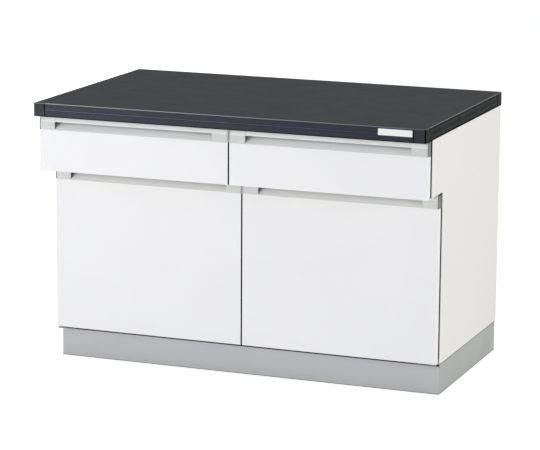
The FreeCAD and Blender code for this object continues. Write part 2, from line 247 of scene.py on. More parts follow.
def layColour(finish, mask, over, under=None):  # the next colour layer, laid by a mask
    tree = finish["tree"]
    mix = addNode(tree, "ShaderNodeMix", data_type="RGBA")
    lower, upper = [index for index, socket in enumerate(mix.inputs) if socket.type == "RGBA"]
    feed(tree, mix, {"Factor": mask, lower: finish["colour"] or (*under, 1.0), upper: (*over, 1.0)})
    finish["colour"] = next(socket for socket in mix.outputs if socket.type == "RGBA")
    feed(tree, finish["shader"], {"Base Color": finish["colour"]})


def layShades(finish, look, mask):
    lighter, darker = [[channel * factor for channel in look["colour"]] for factor in look["shades"]]
    layColour(finish, mask, lighter, darker)


def layDust(finish, look):
    layColour(finish, placeEffect(finish, "dust", look["dust"])["Dust"], look["dustColour"])


def layRelief(finish, look, gloss, relief):  # one mask for the gloss and one for the bumps
    tree = finish["tree"]
    strength, distance = look["bump"]
    bump = addNode(tree, "ShaderNodeBump", {"Height": relief, "Strength": strength, "Distance": distance})
    roughness = ramp(tree, gloss, 0.0, 1.0, *look["roughness"])
    feed(tree, finish["shader"], {"Roughness": roughness, "Normal": bump.outputs["Normal"]})


worktopLaminate = {
    "colour": (0.0495, 0.0540, 0.0565), "shades": (1.10, 0.92), "roughness": (0.54, 0.60), "specular": 0.016,
    "bump": (0.12, 0.0002), "grain": {"Mottle Scale": 14.0, "Tooth Scale": 1400.0},
    "dust": {"Patch Scale": 5.0, "Amount": 0.04}, "dustColour": (0.12, 0.12, 0.12),
}


def makeWorktopLaminate():
    look = worktopLaminate
    finish = startFinish("worktopLaminate", look)
    grain = placeEffect(finish, "grain", look["grain"])
    layShades(finish, look, grain["Tooth"])
    layDust(finish, look)
    layRelief(finish, look, grain["Mottle"], grain["Tooth"])
    return finish["material"]


bandFront = (0.0165, 0.0190, 0.0318)
# the side colour and its finishes are a darker, duller copy of the front's: painted shade on faces turned to
# the side
bandSideShade = (0.0145, 0.0155, 0.0155)
edgePlastic = {  # colour, painted highlight colour on the rounded edges, its amount, the part of it left over at the right end, specular
    "edgeFront": (bandFront, (0.46, 0.50, 0.58), 0.95, 0.30, 0.16),
    "edgeSideShade": (bandSideShade, (0.30, 0.31, 0.31), 0.95, 0.80, 0.01),
    "capFront": ((0.0165, 0.0180, 0.0290), (0.24, 0.26, 0.30), 0.95, 0.50, 0.15),
    "capSideShade": ((0.0135, 0.0142, 0.0142), (0.24, 0.26, 0.30), 0.95, 0.50, 0.01),
    "beadFront": (bandFront, (0.30, 0.33, 0.40), 0.20, 0.30, 0.16),
    "beadMiddle": (bandFront, (0.46, 0.50, 0.58), 0.50, 0.20, 0.16),
    "beadSideShade": (bandSideShade, (0.20, 0.21, 0.21), 0.15, 0.80, 0.01),
}
edgeSurface = {
    "shades": (1.35, 0.75), "roughness": (0.28, 0.44), "bump": (0.10, 0.0002),
    "streaks": {"Squeeze": (0.02, 0.02, 1.0), "Scale": 700.0},
    "grain": {"Mottle Scale": 40.0, "Tooth Scale": 1200.0}, "corner": (0.001, 0.001, 0.0012),
}


def makeEdgePlastic(name):
    colour, highlightColour, amount, fade, specular = edgePlastic[name]
    look = {**edgeSurface, "colour": colour, "specular": specular}
    finish = startFinish(name, look)
    streaks = placeEffect(finish, "streaks", look["streaks"])
    grain = placeEffect(finish, "grain", look["grain"])
    rim = placeEffect(finish, "rim", {"Fade": fade, "Highlight Amount": amount})
    layShades(finish, look, streaks["Streak"])
    # painted highlight on the rounded edges
    layColour(finish, rim["Rim"], highlightColour)
    # painted shade: a black line on the upright corner roundings
    layColour(finish, rim["Corner"], look["corner"])
    layRelief(finish, look, grain["Mottle"], streaks["Streak"])
    return finish["material"]


boardFaces = {
    "frontWhite": {"colour": (0.836, 0.837, 0.848), "roughness": (0.34, 0.42), "specular": 0.35},
    "carcassWhite": {"colour": (0.795, 0.785, 0.755), "roughness": (0.44, 0.54), "specular": 0.30},
    "drawerBoard": {"colour": (0.70, 0.69, 0.665), "roughness": (0.46, 0.58), "specular": 0.30},
    "coreBacking": {"colour": (0.80, 0.80, 0.80), "roughness": (0.52, 0.62), "specular": 0.25},
}
boardSurface = {
    "shades": (1.008, 0.985), "bump": (0.05, 0.0002), "grain": {"Mottle Scale": 4.0, "Tooth Scale": 700.0},
    "dust": {"Patch Scale": 8.0, "Amount": 0.05}, "dustColour": (0.55, 0.53, 0.50),
}


def makeBoardFace(name):
    look = {**boardSurface, **boardFaces[name]}
    finish = startFinish(name, look)
    grain = placeEffect(finish, "grain", look["grain"])
    layShades(finish, look, grain["Mottle"])
    layDust(finish, look)
    layRelief(finish, look, grain["Mottle"], grain["Tooth"])
    return finish["material"]


mouldedGreys = {
    "handleCapGrey": {"colour": (0.185, 0.188, 0.185), "roughness": (0.42, 0.55), "specular": 0.35},
    # the middle caps' lighter grey is painted light
    "handleCapMiddleLit": {"colour": (0.470, 0.475, 0.470), "roughness": (0.42, 0.55), "specular": 0.35},
    # this dark grey is painted shade on the left end walls of the grips
    "gripEndShade": {"colour": (0.115, 0.119, 0.112), "roughness": (0.50, 0.62), "specular": 0.25},
    "gripEndLight": {"colour": (0.720, 0.730, 0.722), "roughness": (0.50, 0.62), "specular": 0.25},
    # this black is painted shade in the gaps, and also the worktop's dark joints
    "jointAndShadeBlack": {"colour": (0.005, 0.005, 0.0055), "roughness": (0.62, 0.75), "specular": 0.01},
    # these two darks are painted shade along the plinth's top and along its foot
    "plinthShadeLine": {"colour": (0.055, 0.055, 0.058), "roughness": (0.62, 0.75), "specular": 0.01},
    "footShadeLine": {"colour": (0.25, 0.25, 0.245), "roughness": (0.50, 0.62), "specular": 0.10},
    "bracketGrey": {"colour": (0.29, 0.29, 0.294), "roughness": (0.45, 0.58), "specular": 0.15},
    "nylonWhite": {"colour": (0.62, 0.61, 0.57), "roughness": (0.45, 0.55), "specular": 0.40},
}
mouldedSurface = {
    "shades": (1.03, 0.96), "bump": (0.06, 0.0002),
    "streaks": {"Squeeze": (0.015, 1.0, 1.0), "Scale": 900.0},
    "grain": {"Mottle Scale": 25.0, "Tooth Scale": 1100.0},
}


def startMoulding(name, tones):
    look = {**mouldedSurface, **tones}
    finish = startFinish(name, look)
    grain = placeEffect(finish, "grain", look["grain"])
    layShades(finish, look, placeEffect(finish, "streaks", look["streaks"])["Streak"])
    layRelief(finish, look, grain["Mottle"], grain["Tooth"])
    return finish


def makeMouldedGrey(name):
    return startMoulding(name, mouldedGreys[name])["material"]


# the lighter lip and floor colours are painted light, the darker lip top and deep colours are painted shade
handleGrey = {"colour": (0.611, 0.622, 0.614), "lip": (0.865, 0.873, 0.872), "lipTopShade": (0.560, 0.568, 0.567),
              "floor": (0.940, 0.945, 0.942), "deep": (0.600, 0.607, 0.600), "lipRange": (0.0235, 0.0380),
              "roughness": (0.32, 0.44), "specular": 0.40}
gripShade = {"drawer": (0.0165, 0.0240), "door": (0.0220, 0.0290)}  # the depths where the painted shade deep in the pocket starts and is full


def makeHandleGrey(kind):  # painted light on the lip and the pocket's floor, painted shade on the lip's top and deep in the pocket; drawer and door handles stand at other places, so each kind has its own
    look = handleGrey
    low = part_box(kind + "_handle_right")[0]
    finish = startMoulding(kind + "HandleGrey", look)
    grip = placeEffect(finish, "grip", {
        "Face": low.y, "Bottom": low.z, "Lip Low": look["lipRange"][0], "Lip High": look["lipRange"][1],
        "Deep Start": gripShade[kind][0], "Deep Full": gripShade[kind][1]})
    for mask, tone in (("Slant", "lip"), ("Rise", "lipTopShade"), ("Floor", "floor"), ("Deep", "deep")):
        layColour(finish, grip[mask], look[tone])
    return finish["material"]


# side is a darker colour for faces turned to the left or right: painted shade
plinthGrey = {
    "colour": (0.505, 0.518, 0.534), "shades": (1.02, 0.97), "roughness": (0.40, 0.52), "specular": 0.35,
    "bump": (0.06, 0.0002), "grain": {"Mottle Scale": 7.0, "Tooth Scale": 800.0},
    "scuffs": {"Top": 0.07, "Amount": 0.16}, "foot": (0.430, 0.440, 0.452), "side": (0.362, 0.378, 0.363),
    "scuff": (0.27, 0.27, 0.28),
}


def makePlinthGrey():
    look = plinthGrey
    finish = startFinish("plinthGrey", look)
    grain = placeEffect(finish, "grain", look["grain"])
    scuffs = placeEffect(finish, "scuffs", look["scuffs"])
    layShades(finish, look, grain["Mottle"])
    layColour(finish, scuffs["Low"], look["foot"])
    # painted shade on the plinth's left and right faces
    layColour(finish, placeEffect(finish, "rim", {})["Side"], look["side"])
    layColour(finish, scuffs["Scuff"], look["scuff"])
    layRelief(finish, look, grain["Mottle"], grain["Tooth"])
    return finish["material"]


rolledSteels = {
    "slideZinc": {"colour": (0.62, 0.63, 0.65), "roughness": (0.26, 0.42), "squeeze": (1.0, 0.01, 1.0)},
    "pivotNickel": {"colour": (0.58, 0.57, 0.55), "roughness": (0.20, 0.36), "squeeze": (1.0, 1.0, 0.05)},
    "pivotBlack": {"colour": (0.075, 0.075, 0.078), "roughness": (0.34, 0.50), "squeeze": (0.05, 1.0, 1.0)},
}
steelSurface = {"shades": (1.06, 0.88), "bump": (0.08, 0.0001), "scale": 1500.0, "specular": 0.5,
                "metallic": 1.0}


def makeRolledSteel(name):
    look = {**steelSurface, **rolledSteels[name]}
    finish = startFinish(name, look)
    streak = placeEffect(finish, "streaks", {"Squeeze": look["squeeze"], "Scale": look["scale"]})["Streak"]
    layShades(finish, look, streak)
    layRelief(finish, look, streak, streak)
    return finish["material"]


plateFace = {"lighter": (0.86, 0.86, 0.87), "darker": (0.79, 0.79, 0.80), "roughness": (0.25, 0.36),
             "specular": 0.40, "bump": (0.05, 0.0001),
             "streaks": {"Squeeze": (0.01, 1.0, 1.0), "Scale": 1200.0}}


def makePlateFace():
    look = plateFace
    finish = startFinish("blankPlateFace", look)
    streak = placeEffect(finish, "streaks", look["streaks"])["Streak"]
    layColour(finish, streak, look["lighter"], look["darker"])
    layRelief(finish, look, streak, streak)
    return finish["material"]


finishes = {
    "worktopLaminate": makeWorktopLaminate(), "plinthGrey": makePlinthGrey(), "plateFace": makePlateFace(),
    "drawerHandle": makeHandleGrey("drawer"), "doorHandle": makeHandleGrey("door"),
}
for looks, makeFinish in ((edgePlastic, makeEdgePlastic), (boardFaces, makeBoardFace),
                          (mouldedGreys, makeMouldedGrey), (rolledSteels, makeRolledSteel)):
    finishes.update({name: makeFinish(name) for name in looks})
print("finishes:", len(finishes))


# every CAD node's finish, by the start of its name; the longest match counts

nodeFinish = {
    "worktop_laminate": "worktopLaminate", "worktop_core": "coreBacking", "worktop_screws": "pivotNickel",
    "edge_band": "edgeFront", "edge_band_left": "edgeSideShade", "edge_band_right": "edgeSideShade",
    "corner_caps": "capFront", "plinth": "plinthGrey", "side_panel": "carcassWhite",
    "centre_partition": "carcassWhite", "back_panel": "carcassWhite", "bottom_panel": "carcassWhite",
    "drawer_divider": "carcassWhite", "top_rail": "carcassWhite", "shelf": "carcassWhite",
    "shelf_pins": "pivotNickel", "drawer_front": "frontWhite", "door_panel": "frontWhite",
    "drawer_handle": "drawerHandle", "drawer_handle_caps": "handleCapGrey", "door_handle": "doorHandle",
    "door_handle_caps": "handleCapGrey", "drawer_sides": "drawerBoard", "drawer_box_front": "drawerBoard",
    "drawer_back": "drawerBoard", "drawer_bottom": "drawerBoard", "slide": "slideZinc",
    "pivot": "pivotBlack", "pivot_brackets_bottom": "bracketGrey", "pivot_pins": "pivotNickel",
    "strike_plate": "pivotNickel", "door_bushes": "nylonWhite", "door_catches": "nylonWhite",
}


def entryFor(table, node):
    keys = [key for key in table if node.startswith(key)]
    return table[max(keys, key=len)] if keys else None


for node, piece in frame["nodes"].items():
    piece.data.materials.clear()
    piece.data.materials.append(finishes[entryFor(nodeFinish, node)])


def splitFinish(mesh, second, takesSecond):  # the faces that the test picks get a second finish
    mesh.materials.append(finishes[second])
    for polygon in mesh.polygons:
        polygon.material_index = int(takesSecond(polygon))


meetingCaps = {"reach": 0.1}  # handle caps nearer the middle than this get a lighter copy of the cap grey: painted light
for node in (kind + "_handle_caps_" + side for kind in ("drawer", "door") for side in ("left", "right")):
    splitFinish(frame["nodes"][node].data, "handleCapMiddleLit",
                lambda polygon: abs(polygon.center.x) < meetingCaps["reach"])
cornerCaps = {"turn": 0.1}  # faces that turn further to the side than this get the darker, duller copy: painted shade
splitFinish(frame["nodes"]["corner_caps"].data, "capSideShade",
            lambda polygon: abs(polygon.normal.x) > cornerCaps["turn"])


# steps that all new pieces share

def placeObject(name, data):
    item = bpy.data.objects.new(name, data)
    bpy.context.scene.collection.objects.link(item)
    return item


def bakeModifiers(piece):  # the evaluated result as a plain mesh, and no modifier left
    bpy.context.view_layer.update()
    depsgraph = bpy.context.evaluated_depsgraph_get()
    mesh = bpy.data.meshes.new_from_object(piece.evaluated_get(depsgraph))
    piece.modifiers.clear()
    piece.data = mesh


def meshFrom(work, name):
    mesh = bpy.data.meshes.new(name)
    work.to_mesh(mesh)
    work.free()
    return mesh


def addPiece(name, mesh, body, finish):
    mesh.materials.append(finishes[finish])
    piece = placeObject(name, mesh)
    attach(piece, body)


# pieces that show get their arrises eased, as edged boards and mouldings have

easedEdges = {  # bevel width in metres and segments, or None where edges stay sharp
    "side_panel": (0.0008, 2), "centre_partition": (0.0008, 2), "bottom_panel": (0.0006, 2),
    "back_panel": (0.0004, 1), "drawer_divider": (0.0006, 2), "shelf": (0.0008, 2), "shelf_pins": None,
    "plinth": (0.0008, 2), "drawer_front": (0.0004, 1), "door_panel": (0.0004, 1),
    "drawer_handle": (0.0005, 2), "drawer_handle_caps": None, "door_handle": (0.0005, 2),
    "door_handle_caps": None, "drawer_sides": (0.0008, 2), "drawer_box_front": (0.0008, 2),
    "drawer_back": (0.0008, 2), "slide": (0.0003, 1), "door_catches": (0.0012, 2),
    "strike_plate": (0.0004, 1),
}
easing = {"weld": 1e-6, "flat": 0.002, "sharp": 0.5}  # metres, and angles in radians
bodyOf = {node: body for body, nodes in frame["record"]["behaviour"]["bodies"].items() for node in nodes}


def joinLoose(mesh):  # weld the triangles and clear the flat ones away, so a bevel has true edges
    work = bmesh.new()
    work.from_mesh(mesh)
    bmesh.ops.remove_doubles(work, verts=work.verts, dist=easing["weld"])
    bmesh.ops.dissolve_limit(work, angle_limit=easing["flat"], verts=work.verts, edges=work.edges)
    work.to_mesh(mesh)
    work.free()
    mesh.shade_flat()
    if "custom_normal" in mesh.attributes:
        mesh.attributes.remove(mesh.attributes["custom_normal"])


def easeNode(node, width, segments):
    mesh = frame["nodes"][node].data.copy()
    joinLoose(mesh)
    piece = placeObject("eased_" + node, mesh)
    bevel = piece.modifiers.new("ease", "BEVEL")
    bevel.width = width
    bevel.segments = segments
    bevel.limit_method = "ANGLE"
    bevel.angle_limit = easing["sharp"]
    bevel.use_clamp_overlap = True
    bakeModifiers(piece)
    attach(piece, bodyOf[node])
    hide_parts(node)


for node in sorted(frame["nodes"]):
    ease = entryFor(easedEdges, node)
    if ease:
        easeNode(node, *ease)
print("eased pieces made")


# Geometry Nodes for the small things that repeat

# a shape at each point, its own Z turned to a direction, as real geometry with its finish set
def standShapes(tree, given, points, shape, direction):
    turn = addNode(tree, "FunctionNodeAlignRotationToVector", {"Vector": given[direction]}, axis="Z")
    stand = addNode(tree, "GeometryNodeInstanceOnPoints", {
        "Points": points, "Instance": shape, "Rotation": turn.outputs["Rotation"]})
    real = addNode(tree, "GeometryNodeRealizeInstances", {"Geometry": stand.outputs["Instances"]})
    finish = addNode(tree, "GeometryNodeSetMaterial", {
        "Geometry": real.outputs["Geometry"], "Material": given["Finish"]})
    return closeTree(tree, {"Geometry": finish.outputs["Geometry"]}, "Geometry")


def vertexPoints(tree, given):
    return addNode(tree, "GeometryNodeMeshToPoints", {"Mesh": given["Geometry"]}).outputs["Points"]


def runTree(name, tree, points, values, body):
    mesh = bpy.data.meshes.new(name)
    mesh.from_pydata(points, [], [])
    piece = placeObject(name, mesh)
    modifier = piece.modifiers.new(tree.name, "NODES")
    modifier.node_group = tree
    sockets = {item.name: item.identifier for item in tree.interface.items_tree if item.in_out == "INPUT"}
    for label, value in values.items():
        modifier[sockets[label]] = value
    bakeModifiers(piece)
    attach(piece, body)


# worktop edge: beads between the grooves of each band

bandBeads = {  # first bead's height above the band's underside, count, radius, how far it stands out, finish
    "upper": (0.0255, 3, 0.0006, 0.00025, "beadFront"),
    "lower": (0.0075, 4, 0.0006, 0.00025, "beadFront"),
    "middle": (0.0200, 1, 0.0016, 0.0003, "beadMiddle"),
}
beadRow = {"step": 0.0025, "endGap": 0.0002, "sides": 12}
bandRuns = (  # each band, and the axis that it runs along
    ("edge_band_front", 0), ("edge_band_back", 0), ("edge_band_left", 1), ("edge_band_right", 1))


def buildBeadTree():  # fine half-sunk beads along an edge band, stacked up its height
    tree, given = openTree("edgeBandBeads", "Geometry", {
        "Geometry": "Geometry", "Count": "Int", "First": "Vector", "Step": "Vector", "Run": "Vector",
        "Length": "Float", "Bead Radius": "Float", "Finish": "Material"})
    line = addNode(tree, "GeometryNodeMeshLine", {
        "Count": given["Count"], "Start Location": given["First"], "Offset": given["Step"]}, mode="OFFSET")
    bead = addNode(tree, "GeometryNodeMeshCylinder", {
        "Vertices": beadRow["sides"], "Radius": given["Bead Radius"], "Depth": given["Length"]})
    return standShapes(tree, given, line.outputs["Mesh"], bead.outputs["Mesh"], "Run")


def bandFace(node, run):  # a band's corners, the axis across it, which way it faces and where its face is
    low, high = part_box(node)
    across = 1 - run
    outward = 1 if low[across] + high[across] > 0 else -1
    return low, high, across, outward, high[across] if outward > 0 else low[across]


def layBeads(tree, node, run):
    low, high, across, outward, face = bandFace(node, run)
    direction = (1.0, 0.0, 0.0) if run == 0 else (0.0, 1.0, 0.0)
    for part, (rise, count, radius, stand, finish) in bandBeads.items():
        first = Vector((0.0, 0.0, low.z + rise))
        first[across] = face - outward * (radius - stand)
        first[run] = (low[run] + high[run]) / 2
        runTree("beads_" + part + "_" + node, tree, [], {
            "Count": count, "First": first[:], "Step": (0.0, 0.0, beadRow["step"]), "Run": direction,
            "Length": high[run] - low[run] - beadRow["endGap"], "Bead Radius": radius,
            "Finish": finishes[finish if run == 0 else "beadSideShade"]}, "carcass")


beadTree = buildBeadTree()
for node, run in bandRuns:
    layBeads(beadTree, node, run)
print("edge beads laid")


# a bare plate with a shallow rim, near the right end of the front band

blankPlate = {"middle": (0.511, 0.78575), "size": (0.100, 0.00048, 0.0185), "corner": 0.0015,
              "cornerSegments": 4, "rim": 0.0010, "recess": 0.00008}
roundProfile = 0.5  # of a bevel


def boxAt(work, middle, size):
    place = Matrix.Translation(middle) @ Matrix.Diagonal((*size, 1.0))
    bmesh.ops.create_cube(work, size=1.0, matrix=place)


def makeBlankPlate():
    size = Vector(blankPlate["size"])
    across, up = blankPlate["middle"]
    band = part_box("edge_band_front")[0].y
    work = bmesh.new()
    boxAt(work, Vector((across, band - size.y / 2, up)), size)
    corners = [edge for edge in work.edges if abs(edge.verts[0].co.y - edge.verts[1].co.y) > size.y / 2]
    bmesh.ops.bevel(work, geom=corners, offset=blankPlate["corner"], segments=blankPlate["cornerSegments"],
                    profile=roundProfile, affect="EDGES")
    face = min(work.faces, key=lambda item: item.calc_center_median().y)
    bmesh.ops.inset_region(work, faces=[face], thickness=blankPlate["rim"], use_even_offset=True)
    bmesh.ops.translate(work, verts=face.verts, vec=(0.0, blankPlate["recess"], 0.0))
    bmesh.ops.recalc_face_normals(work, faces=work.faces)
    addPiece("blankPlate", meshFrom(work, "blankPlate"), "carcass", "plateFace")


makeBlankPlate()
print("blank plate made")


# dark strips in the gaps as painted shade, dark joints and painted shadow lines at the worktop bands, dark
# lines along the plinth as painted shade, and plates that close the grips

gapShadeTrim = {"clear": 0.0012, "inset": 0.0015, "ease": 0.0004, "easeSegments": 2, "pinRadius": 0.003,
            "bracketLength": 0.052, "bottomReach": 0.006, "bottomTop": 0.099}


def easedBoxes(name, boxes, body, finish, ease):
    work = bmesh.new()
    for low, high in boxes:
        corners = [Vector(map(min, low, high)), Vector(map(max, low, high))]
        boxAt(work, (corners[0] + corners[1]) / 2, corners[1] - corners[0])
    bmesh.ops.bevel(work, geom=work.edges[:], offset=ease, segments=gapShadeTrim["easeSegments"],
                    profile=roundProfile, affect="EDGES")
    addPiece(name, meshFrom(work, name), body, finish)


def shadeCabinetGaps():  # painted shade: dark strips in the gaps, upright ones on the side panels and the partition, and one under the doors
    clear, inset = gapShadeTrim["clear"], gapShadeTrim["inset"]
    panelLow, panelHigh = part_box("side_panel_right")
    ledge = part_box("drawer_front_right")[0].z
    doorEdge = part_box("plinth_front")[0].y
    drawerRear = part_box("drawer_front_right")[1].y
    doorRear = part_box("door_panel_right")[1].y
    drawerBar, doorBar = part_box("drawer_handle_right"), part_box("door_handle_right")
    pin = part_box("pivot_pins")[1]
    pivotX, pivotY = pin.x - gapShadeTrim["pinRadius"], pin.y - gapShadeTrim["pinRadius"]
    swing = pivotY + Vector((panelHigh.x - pivotX, doorRear - pivotY)).length  # a door corner's reach
    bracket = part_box("pivot_brackets_bottom")[1]
    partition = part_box("centre_partition")
    boxes = []
    for sign in (-1, 1):
        xs = sign * (panelLow.x + inset), sign * (panelHigh.x - inset)
        rows = [  # front, rear, bottom and top of each strip
            (drawerRear + clear, panelLow.y, ledge + clear, drawerBar[0].z - clear),
            (drawerBar[1].y + clear, panelLow.y, drawerBar[0].z - clear / 2, panelHigh.z - clear),
            (swing + clear, doorEdge, bracket.z + clear, doorBar[0].z - clear),
            (doorRear + clear, doorEdge - clear, doorBar[1].z + clear, ledge),
        ]
        boxes += [((xs[0], y0, z0), (xs[1], y1, z1)) for y0, y1, z0, z1 in rows]
    half = partition[1].x - inset
    rows = [
        (drawerRear + clear, panelLow.y, ledge + clear, drawerBar[0].z - clear),
        (drawerBar[1].y + clear, panelLow.y, drawerBar[0].z - clear / 2, partition[1].z - clear),
        (doorRear + clear, doorEdge, partition[0].z + clear, doorBar[0].z - clear),
    ]
    boxes += [((-half, y0, z0), (half, y1, z1)) for y0, y1, z0, z1 in rows]
    bottomHalf = bracket.x - gapShadeTrim["bracketLength"] - clear
    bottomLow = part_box("bottom_panel")[0].z + clear
    boxes.append(((-bottomHalf, doorEdge - gapShadeTrim["bottomReach"], bottomLow),
                  (bottomHalf, doorEdge, gapShadeTrim["bottomTop"])))
    easedBoxes("cabinetShadeStrips", boxes, "carcass", "jointAndShadeBlack", gapShadeTrim["ease"])


meetingShadeStrip = {"proud": 0.0014, "set": 0.0003, "deep": 0.0110}
endShadeStrip = {"proud": 0.0015, "run": 0.012, "set": 0.006, "reach": 0.0024, "sunk": 0.0003, "rise": 0.0017}


def shadeFrontGaps(kind, panel, side):  # painted shade that rides on a drawer or a door: dark strips in the gap between the fronts and at the handle's outer end
    sign = 1 if side == "right" else -1
    clear = gapShadeTrim["clear"]
    low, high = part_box(panel + "_" + side)
    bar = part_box(kind + "_handle_" + side)
    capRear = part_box(kind + "_handle_caps_" + side)[1].y
    inner = min(abs(low.x), abs(high.x))
    barEnd = max(abs(bar[0].x), abs(bar[1].x))
    meeting = ((sign * (inner - meetingShadeStrip["proud"]), low.y + meetingShadeStrip["set"], low.z + clear),
               (sign * (inner + clear), low.y + meetingShadeStrip["deep"], high.z - clear))
    endShade = ((sign * (barEnd - clear), capRear + clear / 2, bar[0].z + clear),
            (sign * (barEnd + endShadeStrip["proud"]), bar[1].y - clear, bar[1].z - clear))
    boxes = [meeting, endShade]
    if kind == "door":  # closes the slot over the outer end of the door's handle with a dark strip: painted shade
        boxes.append((
            (sign * (barEnd - endShadeStrip["run"]), bar[0].y + endShadeStrip["set"], bar[1].z - endShadeStrip["sunk"]),
            (sign * (barEnd + endShadeStrip["reach"]), bar[1].y - clear, bar[1].z + endShadeStrip["rise"])))
    easedBoxes("shadeStrips_" + kind + "_" + side, boxes, kind + "_" + side, "jointAndShadeBlack",
               gapShadeTrim["ease"] / 2)


plinthTrim = {"proud": 0.0004, "depth": 0.001, "high": 0.0066, "sideHigh": 0.0015, "footHigh": 0.0022}


def shadePlinthEdges():  # painted shade: a dark line along the top of the plinth, and a darker strip along its foot all round it as painted contact shadow
    proud, depth = plinthTrim["proud"], plinthTrim["depth"]
    low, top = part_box("plinth_front")
    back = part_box("plinth_back")[1].y
    wide, foot = top.x + proud, low.z + plinthTrim["footHigh"]
    frontLow, sideLow = top.z - plinthTrim["high"], top.z - plinthTrim["sideHigh"]
    line = [((-wide, low.y - proud, frontLow), (wide, low.y + depth, top.z))]
    seal = [((-wide, low.y - proud, low.z), (wide, low.y + depth, foot)),
            ((-wide, back - depth, low.z), (wide, back + proud, foot))]
    for sign in (-1, 1):
        inner, outer = sign * (top.x - depth), sign * wide
        line.append(((inner, low.y + depth, sideLow), (outer, back, top.z)))
        seal.append(((inner, low.y + depth, low.z), (outer, back - depth, foot)))
    easedBoxes("plinthTopShadeStrip", line, "carcass", "plinthShadeLine", proud / 4)
    easedBoxes("plinthFootShadeStrip", seal, "carcass", "footShadeLine", proud / 4)


worktopTrim = {"seamInward": 0.0015, "seamOutward": 0.0029, "proud": 0.0004, "sunk": 0.0010,
               "topDrop": 0.0028, "shadowLineHigh": (0.0020, 0.0040), "shadowLineProud": 0.0003,
               "grooveTop": 0.0060, "grooveHigh": 0.0016, "grooveSunk": 0.0003}


# dark joints between bands and caps, a dark line under each band as painted shadow, and a dark line in the
# sides' groove as painted shade
def lineWorktopJointsAndShade():
    trim = worktopTrim
    boxes = []
    for node, run in bandRuns:
        low, high, across, outward, face = bandFace(node, run)
        shadowLineTop = low.z + trim["shadowLineHigh"][run]
        rows = [(low[run], high[run], low.z, shadowLineTop, trim["shadowLineProud"])]
        for end, inward in ((low[run], 1), (high[run], -1)):
            edges = end + inward * trim["seamInward"], end - inward * trim["seamOutward"]
            rows.append((*edges, shadowLineTop, high.z - trim["topDrop"], trim["proud"]))
        if run == 1:
            grooveTop = high.z - trim["grooveTop"]
            grooveLow = grooveTop - trim["grooveHigh"]
            rows.append((low[run], high[run], grooveLow, grooveTop, -trim["grooveSunk"]))
        for start, end, bottom, top, proud in rows:
            corners = Vector((0.0, 0.0, bottom)), Vector((0.0, 0.0, top))
            corners[0][run], corners[1][run] = start, end
            corners[0][across] = face + outward * proud
            corners[1][across] = face - outward * trim["sunk"]
            boxes.append(corners)
    easedBoxes("worktopJointAndShadeLines", boxes, "carcass", "jointAndShadeBlack", trim["proud"] / 4)


gripEnd = {"block": 0.0462, "thickness": 0.0008, "clear": 0.0004, "flange": 0.0030, "flangeWidth": 0.0020,
           "floorTop": 0.0220, "lipBottom": 0.0235, "lipWall": 0.0040, "ceiling": 0.0340, "lean": 0.0036,
           "deep": 0.0290}


def closeGrips(kind, side):  # a plate on each end wall of the finger recess; the left ones are dark as painted shade, the right ones light
    low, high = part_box(kind + "_handle_" + side)
    look = gripEnd
    clear = look["clear"]
    outline = [
        (look["flangeWidth"], look["flange"] + clear),
        (look["deep"] - clear, look["floorTop"] + clear),
        (look["deep"] - clear, look["ceiling"] - clear),
        (look["lean"] + look["lipWall"] + clear, look["ceiling"] - clear),
        (look["lipWall"] + clear, look["lipBottom"] + clear),
        (look["lipWall"] / 2, look["lipBottom"] - clear),
        (clear, look["lipBottom"] - clear),
        (clear, look["flange"] + clear),
    ]
    work = bmesh.new()
    for wall, inward in ((low.x + look["block"], 1), (high.x - look["block"], -1)):
        ring = [work.verts.new((wall, low.y + reach, low.z + rise)) for reach, rise in outline]
        face = work.faces.new(ring)
        made = bmesh.ops.extrude_face_region(work, geom=[face])
        moved = [item for item in made["geom"] if isinstance(item, bmesh.types.BMVert)]
        bmesh.ops.translate(work, verts=moved, vec=(inward * look["thickness"], 0.0, 0.0))
    bmesh.ops.recalc_face_normals(work, faces=work.faces)
    name = "gripEnds_" + kind + "_" + side
    mesh = meshFrom(work, name)
    addPiece(name, mesh, kind + "_" + side, "gripEndShade")
    splitFinish(mesh, "gripEndLight", lambda polygon: polygon.center.x > (low.x + high.x) / 2)


shadeCabinetGaps()
shadePlinthEdges()
lineWorktopJointsAndShade()
for side in ("left", "right"):
    shadeFrontGaps("drawer", "drawer_front", side)
    shadeFrontGaps("door", "door_panel", side)
    closeGrips("drawer", side)
    closeGrips("door", side)
print("seals laid")


# screws

screwHead = {"radius": 0.0036, "top": 0.0029, "height": 0.0013, "recessShare": 0.55, "recessDepth": 0.0009,
             "sides": 20}


def buildScrewTree():  # tapered pan heads with a round drive recess, one at each vertex
    tree, given = openTree("panHeadScrews", "Geometry", {
        "Geometry": "Geometry", "Head Radius": "Float", "Top Radius": "Float", "Head Height": "Float",
        "Recess Share": "Float", "Recess Depth": "Float", "Facing": "Vector", "Finish": "Material"})
    head = addNode(tree, "GeometryNodeMeshCone", {
        "Vertices": screwHead["sides"], "Radius Bottom": given["Head Radius"],
        "Radius Top": given["Top Radius"], "Depth": given["Head Height"]})
    rim = addNode(tree, "GeometryNodeExtrudeMesh", {
        "Mesh": head.outputs["Mesh"], "Selection": head.outputs["Top"], "Offset Scale": 0.0,
        "Individual": False}, mode="FACES")
    narrow = addNode(tree, "GeometryNodeScaleElements", {
        "Geometry": rim.outputs["Mesh"], "Selection": rim.outputs["Top"],
        "Scale": given["Recess Share"]}, domain="FACE")
    sink = addNode(tree, "GeometryNodeExtrudeMesh", {
        "Mesh": narrow.outputs["Geometry"], "Selection": rim.outputs["Top"],
        "Offset Scale": product(tree, given["Recess Depth"], -1.0), "Individual": False}, mode="FACES")
    return standShapes(tree, given, vertexPoints(tree, given), sink.outputs["Mesh"], "Facing")


screwTree = buildScrewTree()


